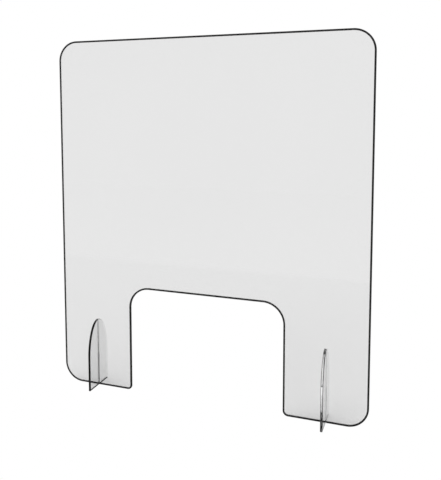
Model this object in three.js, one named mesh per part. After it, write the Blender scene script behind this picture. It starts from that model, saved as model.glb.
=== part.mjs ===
// Free-standing sneeze guard for a serving counter: one clear acrylic panel with a
// pass-through cut out of its bottom edge, standing on two slot-in feet.
// Millimetres, +Z up. X runs along the panel and Y through it, with the customer's side
// at -Y. The origin is on the counter, at the middle of the panel's width and thickness.
import * as THREE from "three";

// The sheet that all three pieces are cut from.
const SHEET = 6;
const ARRIS = 0.5; // polished chamfer along every cut edge

// The panel.
const PANEL_WIDTH = 800;
const PANEL_HEIGHT = 900;
const CORNER_RADIUS = 50;
const PASS_WIDTH = 400; // the pass-through, open at the counter
const PASS_HEIGHT = 270;
const PASS_RADIUS = 50;
const LEG_TOE_RADIUS = 13; // corner of a leg beside the pass-through

// The feet, one under the middle of each leg.
const FOOT_DEPTH = 90;
const FOOT_HEIGHT = 178;
const FOOT_SIDE = 85; // straight side below the arched top
const FOOT_OFFSET = (PANEL_WIDTH + PASS_WIDTH) / 4;

// The half-lap joint: the panel is slotted from its bottom edge, a foot from its top.
const SLOT_RADIUS = SHEET / 2 + 0.3;
const PANEL_SLOT_END = 86; // centre of the round end of the panel's slot
const FOOT_SLOT_END = 88; // centre of the round end of a foot's slot

const ARC_STEPS = 8; // half the number of chords in an arc
const QUARTER = Math.PI / 2;

// A slot cut upwards from the bottom edge at x, for an outline that runs left to right.
function cutPanelSlot(outline, x) {
  outline.lineTo(x - SLOT_RADIUS, 0);
  outline.absarc(x, PANEL_SLOT_END, SLOT_RADIUS, 2 * QUARTER, 0, true);
  outline.lineTo(x + SLOT_RADIUS, 0);
}

// The panel's outline, anticlockwise from the bottom edge of its left leg.
function panelOutline() {
  const side = PANEL_WIDTH / 2 - CORNER_RADIUS;
  const shoulder = PANEL_HEIGHT - CORNER_RADIUS;
  const toe = PASS_WIDTH / 2 + LEG_TOE_RADIUS;
  const passSide = PASS_WIDTH / 2 - PASS_RADIUS;
  const passShoulder = PASS_HEIGHT - PASS_RADIUS;
  const outline = new THREE.Shape();
  outline.moveTo(-side, 0);
  cutPanelSlot(outline, -FOOT_OFFSET);
  outline.absarc(-toe, LEG_TOE_RADIUS, LEG_TOE_RADIUS, -QUARTER, 0, false);
  outline.absarc(-passSide, passShoulder, PASS_RADIUS, 2 * QUARTER, QUARTER, true);
  outline.absarc(passSide, passShoulder, PASS_RADIUS, QUARTER, 0, true);
  outline.absarc(toe, LEG_TOE_RADIUS, LEG_TOE_RADIUS, 2 * QUARTER, 3 * QUARTER, false);
  cutPanelSlot(outline, FOOT_OFFSET);
  outline.absarc(side, CORNER_RADIUS, CORNER_RADIUS, -QUARTER, 0, false);
  outline.absarc(side, shoulder, CORNER_RADIUS, 0, QUARTER, false);
  outline.absarc(-side, shoulder, CORNER_RADIUS, QUARTER, 2 * QUARTER, false);
  outline.absarc(-side, CORNER_RADIUS, CORNER_RADIUS, 2 * QUARTER, 3 * QUARTER, false);
  return outline;
}

// Where the arched top of a foot meets one wall of its slot, as an angle on the ellipse.
function slotMouthAngle() {
  return Math.acos(SLOT_RADIUS / (FOOT_DEPTH / 2));
}

// A foot's outline, anticlockwise from the bottom: straight sides, a half ellipse on top,
// and the slot down the middle.
function footOutline() {
  const half = FOOT_DEPTH / 2;
  const rise = FOOT_HEIGHT - FOOT_SIDE;
  const mouth = slotMouthAngle();
  const outline = new THREE.Shape();
  outline.moveTo(-half, 0);
  outline.lineTo(half, 0);
  outline.absellipse(0, FOOT_SIDE, half, rise, 0, mouth, false);
  outline.absarc(0, FOOT_SLOT_END, SLOT_RADIUS, 0, -2 * QUARTER, true);
  outline.absellipse(0, FOOT_SIDE, half, rise, 2 * QUARTER - mouth, 2 * QUARTER, false);
  return outline;
}

// A sheet of the outline's shape, centred on its own plane, with chamfered edges.
function cutSheet(outline) {
  const geometry = new THREE.ExtrudeGeometry(outline, {
    depth: SHEET - 2 * ARRIS,
    steps: 1,
    curveSegments: ARC_STEPS,
    bevelEnabled: true,
    bevelSegments: 1,
    bevelThickness: ARRIS,
    bevelSize: ARRIS,
    bevelOffset: -ARRIS,
  });
  return geometry.translate(0, 0, ARRIS - SHEET / 2);
}

function clearAcrylic(color) {
  return new THREE.MeshStandardMaterial({
    color,
    roughness: 0.08,
    metalness: 0,
    transparent: true,
    opacity: 0.4,
  });
}

// A sheet of the outline's shape, stood up on its bottom edge.
function uprightPiece(name, outline, color) {
  const piece = new THREE.Mesh(cutSheet(outline), clearAcrylic(color));
  piece.name = name;
  piece.rotation.x = QUARTER;
  return piece;
}

// A foot stands across the panel, astride the middle of one leg.
function foot(name, x) {
  const turned = new THREE.Group();
  turned.position.x = x;
  turned.rotation.z = QUARTER;
  turned.add(uprightPiece(name, footOutline(), 0xaeb0b1));
  return turned;
}

const sneezeGuard = new THREE.Group();
sneezeGuard.add(
  uprightPiece("shield_panel", panelOutline(), 0xb4b6b7),
  foot("left_foot", -FOOT_OFFSET),
  foot("right_foot", FOOT_OFFSET),
);

export default sneezeGuard;
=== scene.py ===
"""Free-standing sneeze guard in clear acrylic: one panel with a pass-through, on two slot-in feet.

Metres, +Z up. X runs along the panel and Y through it, with the customer's side at -Y.
"""

import math
from collections import namedtuple

import bpy
from mathutils import Matrix, Vector


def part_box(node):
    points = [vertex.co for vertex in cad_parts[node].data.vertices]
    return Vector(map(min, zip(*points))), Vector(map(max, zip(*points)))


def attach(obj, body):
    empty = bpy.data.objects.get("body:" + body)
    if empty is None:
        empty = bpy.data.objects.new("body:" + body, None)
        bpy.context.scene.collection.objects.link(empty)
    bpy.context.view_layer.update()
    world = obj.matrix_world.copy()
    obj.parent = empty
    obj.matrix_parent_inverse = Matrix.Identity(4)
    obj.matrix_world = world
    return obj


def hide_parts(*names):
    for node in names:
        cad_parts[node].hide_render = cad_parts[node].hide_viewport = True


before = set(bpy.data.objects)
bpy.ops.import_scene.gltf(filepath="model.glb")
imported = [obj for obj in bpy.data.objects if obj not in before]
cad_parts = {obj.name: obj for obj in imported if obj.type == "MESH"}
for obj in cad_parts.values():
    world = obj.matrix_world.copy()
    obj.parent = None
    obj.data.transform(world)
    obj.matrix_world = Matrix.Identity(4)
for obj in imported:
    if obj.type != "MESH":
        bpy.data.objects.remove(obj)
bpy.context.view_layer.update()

# ---------------------------------------------------------------- sizes of the pieces

panel_low, panel_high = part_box("shield_panel")
foot_low, foot_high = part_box("left_foot")

WIDTH = panel_high.x - panel_low.x
HEIGHT = panel_high.z
SHEET = panel_high.y - panel_low.y
CORNER = 0.050  # radius of the panel's four outer corners
PASS_WIDTH = 0.400
PASS_HEIGHT = 0.270
PASS_CORNER = 0.050
TOE = 0.013  # radius of a leg's corner beside the pass-through

FOOT_DEPTH = foot_high.y - foot_low.y
FOOT_HEIGHT = foot_high.z
FOOT_SIDE = 0.085  # the straight side below the arched top
FOOT_OFFSET = -(foot_low.x + foot_high.x) / 2

SLOT = SHEET / 2 + 0.0003  # half a slot's width, and the radius of its round end
PANEL_SLOT_END = 0.086
FOOT_SLOT_END = 0.088

# How far a cut edge is rounded over: inwards from the edge, and down from the face.
PANEL_ARRIS = (0.0043, 0.0028)
FOOT_ARRIS = (0.0016, 0.0013)
FOOT_BASE_ARRIS = (0.0030, 0.0012)
SLOT_ARRIS = (0.0004, 0.0004)
ARRIS_STEPS = 5
ARC_STEP = math.radians(4)
SHARP_TURN = math.radians(30)  # stretches of an outline that turn by more meet in a sharp corner

# ---------------------------------------------------------------- camera

LENS = 45.0
STAND = (0.522, -1.342, 0.712)
TURN = math.radians(19.63)
DIP = math.radians(4.82)
RISE = -0.155  # most of the downward look is lens shift, so that upright edges stay nearly upright


def make_camera():
    lens = bpy.data.cameras.new("camera")
    lens.lens = LENS
    lens.shift_y = RISE
    camera = bpy.data.objects.new("camera", lens)
    camera.location = STAND
    camera.rotation_euler = (math.pi / 2 - DIP, 0, TURN)
    bpy.context.scene.collection.objects.link(camera)
    bpy.context.scene.camera = camera


# ---------------------------------------------------------------- outlines

OUTER, SLOTTED, BASE = "outer edge", "slot wall", "base edge"


class Outline:
    """A closed outline on a sheet. Each stretch knows what kind of edge it is cut as."""

    def __init__(self, start):
        self.points = [start]
        self.kinds = []

    def line(self, point, kind):
        if math.dist(point, self.points[-1]) > 1e-7:
            self.points.append(point)
            self.kinds.append(kind)

    def arc(self, centre, radii, start, end, kind):
        """An arc of an ellipse, from one angle to another in degrees."""
        steps = max(4, round(abs(math.radians(end - start)) / ARC_STEP))
        for i in range(steps + 1):
            angle = math.radians(start + (end - start) * i / steps)
            across = centre[0] + radii[0] * math.cos(angle)
            up = centre[1] + radii[1] * math.sin(angle)
            self.line((across, up), kind)

    def close(self, kind):
        if math.dist(self.points[0], self.points[-1]) < 1e-7:
            self.points.pop()
        else:
            self.kinds.append(kind)

    def corners(self):
        """Each point with the points before and after it."""
        after = self.points[1:] + self.points[:1]
        before = self.points[-1:] + self.points[:-1]
        return list(zip(before, self.points, after))


def panel_slot(outline, x):
    outline.line((x - SLOT, 0), BASE)
    outline.line((x - SLOT, PANEL_SLOT_END), SLOTTED)
    outline.arc((x, PANEL_SLOT_END), (SLOT, SLOT), 180, 0, SLOTTED)
    outline.line((x + SLOT, 0), SLOTTED)


def panel_outline():
    """Anticlockwise from the left end of the left leg's base."""
    side, top = WIDTH / 2 - CORNER, HEIGHT - CORNER
    toe = PASS_WIDTH / 2 + TOE
    pass_side, pass_top = PASS_WIDTH / 2 - PASS_CORNER, PASS_HEIGHT - PASS_CORNER
    outline = Outline((-side, 0))
    panel_slot(outline, -FOOT_OFFSET)
    outline.line((-toe, 0), BASE)
    outline.arc((-toe, TOE), (TOE, TOE), -90, 0, OUTER)
    outline.arc((-pass_side, pass_top), (PASS_CORNER, PASS_CORNER), 180, 90, OUTER)
    outline.arc((pass_side, pass_top), (PASS_CORNER, PASS_CORNER), 90, 0, OUTER)
    outline.arc((toe, TOE), (TOE, TOE), 180, 270, OUTER)
    panel_slot(outline, FOOT_OFFSET)
    outline.line((side, 0), BASE)
    outline.arc((side, CORNER), (CORNER, CORNER), -90, 0, OUTER)
    outline.arc((side, top), (CORNER, CORNER), 0, 90, OUTER)
    outline.arc((-side, top), (CORNER, CORNER), 90, 180, OUTER)
    outline.arc((-side, CORNER), (CORNER, CORNER), 180, 270, OUTER)
    outline.close(BASE)
    return outline


def foot_outline():
    """Anticlockwise from the front end of the base. The slot takes away the very top of the arch."""
    half = FOOT_DEPTH / 2
    mouth = math.acos(SLOT / half)
    rise = (FOOT_HEIGHT - FOOT_SIDE) / math.sin(mouth)
    mouth = math.degrees(mouth)
    outline = Outline((-half, 0))
    outline.line((half, 0), BASE)
    outline.arc((0, FOOT_SIDE), (half, rise), 0, mouth, OUTER)
    outline.line((SLOT, FOOT_SLOT_END), SLOTTED)
    outline.arc((0, FOOT_SLOT_END), (SLOT, SLOT), 0, -180, SLOTTED)
    outline.line((-SLOT, FOOT_HEIGHT), SLOTTED)
    outline.arc((0, FOOT_SIDE), (half, rise), 180 - mouth, 180, OUTER)
    outline.close(OUTER)
    return outline


# ---------------------------------------------------------------- cut sheets

# How one kind of edge is cut: the size of its arrises, their finish, and the finish between them.
Cut = namedtuple("Cut", "arris rounded middle")


def outward(start, end):
    """The direction out of the sheet, square to a stretch of an anticlockwise outline."""
    along = (Vector(end) - Vector(start)).normalized()
    return Vector((along.y, -along.x))


def inset_point(corner, first, second):
    """Where the two stretches that meet at a corner cross, once each is moved inwards."""
    before, point, after = corner
    out, onward = outward(before, point), outward(point, after)
    turn = out.dot(onward)
    share = 1 - turn * turn
    if share < 1e-6:
        return Vector(point) - out * (first + second) / 2
    return Vector(point) - out * (first - second * turn) / share - onward * (second - first * turn) / share


def end_directions(outline):
    """The outward directions at the two ends of each stretch, shared where the outline runs on smoothly."""
    corners = outline.corners()
    directions = [outward(point, after) for _, point, after in corners]
    ends = []
    for i, own in enumerate(directions):
        pair = []
        for other in (directions[i - 1], directions[(i + 1) % len(directions)]):
            smooth = own.dot(other) > math.cos(SHARP_TURN)
            pair.append((own + other).normalized() if smooth else own)
        ends.append(pair)
    return ends


def rounding_steps():
    """The rings round a sheet's edge, from one face to the other: the side of the sheet, and the turn."""
    turns = [math.pi / 2 * step / ARRIS_STEPS for step in range(ARRIS_STEPS + 1)]
    return [(-1, turn) for turn in turns] + [(1, turn) for turn in reversed(turns)]


def ring_points(outline, cuts, side, turn):
    """The outline, moved inwards and down from a face as far as the rounding has come."""
    left = 1 - math.sin(turn)
    points = []
    for i, corner in enumerate(outline.corners()):
        (first, first_depth), (second, second_depth) = cuts[i - 1].arris, cuts[i].arris
        spot = inset_point(corner, first * left, second * left)
        sink = max(first_depth, second_depth) * (1 - math.cos(turn))
        points.append(Vector((spot.x, side * (SHEET / 2 - sink), spot.y)))
    return points


def rounded_normal(direction, cut, side, turn):
    """The outward direction on an arris, whose section is a quarter of an ellipse."""
    inwards, down = cut.arris
    out = direction * math.sin(turn) * down
    return Vector((out.x, side * math.cos(turn) * inwards, out.y)).normalized()


def cut_sheet(name, outline, face_finish, cut_kinds, place):
    """A sheet of the outline's shape, with each kind of edge cut in its own way."""
    count = len(outline.points)
    kinds = list(cut_kinds)
    cuts = [cut_kinds[kind] for kind in outline.kinds]
    ends = end_directions(outline)
    steps = rounding_steps()
    points = [point for step in steps for point in ring_points(outline, cuts, *step)]
    faces, normals, finish = [], [], []
    for ring in range(len(steps) - 1):
        for i in range(count):
            j = (i + 1) % count
            lower, upper = ring * count, (ring + 1) * count
            faces.append((lower + i, upper + i, upper + j, lower + j))
            for end, step in ((0, ring), (0, ring + 1), (1, ring + 1), (1, ring)):
                normals.append(rounded_normal(ends[i][end], cuts[i], *steps[step]))
            finish.append(1 + 2 * kinds.index(outline.kinds[i]) + (ring == ARRIS_STEPS))
    last = len(points) - count
    for corners, side in ((range(count), -1), (range(len(points) - 1, last - 1, -1), 1)):
        faces.append(tuple(corners))
        normals += [Vector((0, side, 0))] * count
        finish.append(0)
    mesh = bpy.data.meshes.new(name)
    mesh.from_pydata([place @ point for point in points], [], faces)
    mesh.polygons.foreach_set("material_index", finish)
    mesh.polygons.foreach_set("use_smooth", [True] * len(faces))
    mesh.normals_split_custom_set([place.to_3x3() @ normal for normal in normals])
    mesh.materials.append(face_finish)
    for kind in kinds:
        mesh.materials.append(cut_kinds[kind].rounded)
        mesh.materials.append(cut_kinds[kind].middle)
    piece = bpy.data.objects.new(name, mesh)
    bpy.context.scene.collection.objects.link(piece)
    return piece


# ---------------------------------------------------------------- shader graphs


class Graph:
    """The nodes of one material, or of the room."""

    def __init__(self, owner):
        owner.use_nodes = True
        self.tree = owner.node_tree
        self.tree.nodes.clear()

    def node(self, kind, settings, inputs, output=0):
        """Adds a node: its settings first, then the values or links of its sockets."""
        made = self.tree.nodes.new("ShaderNode" + kind)
        for key, value in settings.items():
            setattr(made, key, value)
        for key, value in inputs.items():
            if isinstance(value, Wire):
                self.tree.links.new(value.end, made.inputs[key])
            else:
                made.inputs[key].default_value = value
        return Wire(self, made.outputs[output]) if made.outputs else None


class Wire:
    """A node's output. Arithmetic on it adds Math nodes."""

    def __init__(self, graph, end):
        self.graph = graph
        self.end = end

    def math(self, operation, first, second):
        return self.graph.node("Math", {"operation": operation}, {0: first, 1: second})

    def __add__(self, other):
        return self.math("ADD", self, other)

    def __radd__(self, other):
        return self.math("ADD", other, self)

    def __sub__(self, other):
        return self.math("SUBTRACT", self, other)

    def __rsub__(self, other):
        return self.math("SUBTRACT", other, self)

    def __mul__(self, other):
        return self.math("MULTIPLY", self, other)

    def __rmul__(self, other):
        return self.math("MULTIPLY", other, self)

    def clamped(self):
        return self.graph.node("Clamp", {}, {"Value": self})


def grey(level):
    return (level, level, level, 1)


def noise(g, scale, detail=2.0, stretch=(1, 1, 1)):
    """Soft noise around 0.5, measured in metres."""
    spot = g.node("TexCoord", {}, {}, "Object")
    spot = g.node("VectorMath", {"operation": "MULTIPLY"}, {0: spot, 1: stretch})
    return g.node("TexNoise", {}, {"Vector": spot, "Scale": scale, "Detail": detail}, "Fac")


# ---------------------------------------------------------------- finishes

PANEL_TINT = 0.785
FOOT_TINT = 0.81
IOR = 1.49
CLEAR = grey(0.99)
UPRIGHT = (1, 1, 0.1)  # stretches noise into upright streaks

# Slant is 0 for a surface seen square on, and 1 for one seen along its length.
ARRIS_SLANT = -0.04  # below 0, so that a foot's arrises are painted dark, as painted shade, even square on
MIDDLE_SLANT = 0.10  # the middle of a foot's edge is clear up to here, and painted dark as painted shade beyond
GLANCE_SLANT = 0.70  # a foot's edge is clear again from here
WALL_SLANT = 0.12  # a slot's wall is clear up to here, and painted grey as painted shade beyond
CROWN_RISE = 0.72  # how far up a foot's edge looks where the crown of the arch begins
CROWN_PAINTED_HIGHLIGHT = 0.3  # how much of the painted dark the crown loses: a painted highlight where the arch faces up


def acrylic_face(name, tint):
    """The cast face of the sheet: faint wipe marks, and a trace of waviness from the casting."""
    material = bpy.data.materials.new(name)
    g = Graph(material)
    wiped = (noise(g, 9.0, 4.0, (1, 1, 0.35)) - 0.55).clamped()
    waviness = g.node("Bump", {}, {"Height": noise(g, 5.0, 1.0), "Strength": 0.05, "Distance": 0.001})
    surface = g.node("BsdfPrincipled", {}, {
        "Base Color": tint + (noise(g, 3.0) - 0.5) * 0.02,
        "Roughness": wiped * 0.12,
        "Normal": waviness,
        "Transmission Weight": 1.0,
        "IOR": IOR,
    })
    g.node("OutputMaterial", {}, {"Surface": surface})
    return material


def polished_painted_shade(g, shade, sheen):
    """A cut edge finished on the polishing wheel and painted dark, a painted shade for the light lost
    inside the sheet, streaked by the wheel.
    """
    streaks = noise(g, 60.0, 3.0, UPRIGHT)
    return g.node("BsdfPrincipled", {}, {
        "Base Color": shade * (0.6 + 0.8 * streaks),
        "Roughness": 0.18 + 0.14 * streaks,
        "Specular IOR Level": sheen,
    })


def panel_edge_painted_shade():
    material = bpy.data.materials.new("panel_edge_painted_shade")
    g = Graph(material)
    # Painted shade: the panel's cut edges are painted near-black, standing in for light lost inside the
    # sheet.
    g.node("OutputMaterial", {}, {"Surface": polished_painted_shade(g, 0.010, 0.15)})
    return material


def foot_edge_painted_shade(name, clear_slant):
    """A foot's cut edge: clear up to a certain slant, painted dark beyond it as painted shade, and clear
    again at a glance.

    The crown of the arch looks up at the light, so the painted dark is lifted there, a painted highlight.
    """
    material = bpy.data.materials.new(name)
    g = Graph(material)
    slant = g.node("LayerWeight", {}, {"Blend": 0.5}, "Facing")
    inside = g.node("NewGeometry", {}, {}, "Backfacing")
    upward = g.node("SeparateXYZ", {}, {"Vector": g.node("NewGeometry", {}, {}, "Normal")}, "Z")
    # Painted shade: the edge is painted dark by the slant it is seen at, standing in for light lost inside
    # the sheet.
    dark = ((slant - clear_slant) * 25).clamped() * ((GLANCE_SLANT - slant) * 8).clamped()
    # Painted highlight: where the edge faces upwards, near the crown, the painted dark is lifted.
    crown = ((upward - CROWN_RISE) * 5).clamped() * CROWN_PAINTED_HIGHLIGHT
    shown = dark * (1 - crown) * (1 - inside)
    clear = g.node("BsdfTransparent", {}, {"Color": CLEAR})
    surface = g.node("MixShader", {}, {0: shown, 1: clear, 2: polished_painted_shade(g, 0.004, 0.05)})
    g.node("OutputMaterial", {}, {"Surface": surface})
    return material


def slot_wall():
    """The sawn wall of a slot: clear when seen square on; from further round, rough and painted grey as
    painted shade.
    """
    material = bpy.data.materials.new("slot_wall")
    g = Graph(material)
    slant = g.node("LayerWeight", {}, {"Blend": 0.5}, "Facing")
    clear = g.node("BsdfTransparent", {}, {"Color": CLEAR})
    satin_and_painted_shade = g.node("BsdfPrincipled", {}, {
        "Base Color": 0.20 + (noise(g, 80.0, 2.0, UPRIGHT) - 0.5) * 0.08,
        "Roughness": 0.8,
        "Transmission Weight": 1.0,
        "IOR": IOR,
    })
    # Painted shade: the wall turns grey by the slant it is seen at; the roughness is the real sawn finish.
    turned = ((slant - WALL_SLANT) * 12).clamped()
    surface = g.node("MixShader", {}, {0: turned, 1: clear, 2: satin_and_painted_shade})
    g.node("OutputMaterial", {}, {"Surface": surface})
    return material


# ---------------------------------------------------------------- pieces


def make_panel(face, painted_shade_trim, wall):
    cut_kinds = {
        OUTER: Cut(PANEL_ARRIS, painted_shade_trim, painted_shade_trim),
        SLOTTED: Cut(SLOT_ARRIS, wall, wall),
        BASE: Cut(PANEL_ARRIS, painted_shade_trim, painted_shade_trim),
    }
    panel = cut_sheet("clear_panel", panel_outline(), face, cut_kinds, Matrix())
    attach(panel, "panel")
    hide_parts("shield_panel")


def make_foot(side, x, face, cut_kinds):
    """A foot stands across the panel, astride the middle of one leg."""
    across = Matrix.Translation((x, 0, 0)) @ Matrix.Rotation(math.pi / 2, 4, "Z")
    foot = cut_sheet(side + "_clear_foot", foot_outline(), face, cut_kinds, across)
    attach(foot, side + "_foot")
    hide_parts(side + "_foot")


def make_pieces():
    painted_shade_trim, wall = panel_edge_painted_shade(), slot_wall()
    make_panel(acrylic_face("panel_acrylic", PANEL_TINT), painted_shade_trim, wall)
    cut_kinds = {
        OUTER: Cut(FOOT_ARRIS, foot_edge_painted_shade("foot_arris_painted_shade", ARRIS_SLANT), foot_edge_painted_shade("foot_edge_painted_shade", MIDDLE_SLANT)),
        SLOTTED: Cut(SLOT_ARRIS, wall, wall),
        BASE: Cut(FOOT_BASE_ARRIS, painted_shade_trim, painted_shade_trim),
    }
    face = acrylic_face("foot_acrylic", FOOT_TINT)
    for side, x in (("left", -FOOT_OFFSET), ("right", FOOT_OFFSET)):
        make_foot(side, x, face, cut_kinds)


# ---------------------------------------------------------------- floor and light

FLOOR_SIZE = 8
FLOOR_DEPTH = 1.20  # how far the floor runs back before it fades into the white room
FLOOR_FADE = 0.10
FLOOR_GLOW = 0.43  # the share of the floor's light that comes from below it

LAMP_PLACE = (-1.3, -1.8, 2.1)
LAMP_SIZE = 1.2
LAMP_POWER = 4


def make_floor():
    """A white light table, brightest where it is seen directly."""
    bpy.ops.mesh.primitive_plane_add(size=FLOOR_SIZE)
    floor = bpy.context.object
    floor.name = "floor"
    material = bpy.data.materials.new("pale_floor")
    g = Graph(material)
    pale = g.node("BsdfPrincipled", {}, {
        "Base Color": 0.945 + noise(g, 4.0) * 0.02,
        "Roughness": 1.0,
        "Specular IOR Level": 0.0,
    })
    white = g.node("Emission", {}, {"Color": grey(1.0), "Strength": 1.0})
    depth = g.node("SeparateXYZ", {}, {"Vector": g.node("TexCoord", {}, {}, "Object")}, "Y")
    faded = ((depth - FLOOR_DEPTH) * (1 / FLOOR_FADE)).clamped()
    direct = g.node("LightPath", {}, {}, "Is Camera Ray")
    glow = (FLOOR_GLOW + faded + direct).clamped()
    surface = g.node("MixShader", {}, {0: glow, 1: pale, 2: white})
    g.node("OutputMaterial", {}, {"Surface": surface})
    floor.data.materials.append(material)


def make_light():
    """A white room, and one soft lamp up at the front left."""
    room = bpy.data.worlds.new("studio")
    bpy.context.scene.world = room
    g = Graph(room)
    light = g.node("Background", {}, {"Color": grey(1.0), "Strength": 1.0})
    g.node("OutputWorld", {}, {"Surface": light})
    bpy.context.scene.view_settings.view_transform = "Standard"
    lamp = bpy.data.lights.new("soft_lamp", "AREA")
    lamp.size = LAMP_SIZE
    lamp.energy = LAMP_POWER
    stand = bpy.data.objects.new("soft_lamp", lamp)
    stand.location = LAMP_PLACE
    stand.rotation_euler = (-stand.location).to_track_quat("-Z", "Y").to_euler()
    bpy.context.scene.collection.objects.link(stand)


make_camera()
make_pieces()
make_floor()
make_light()
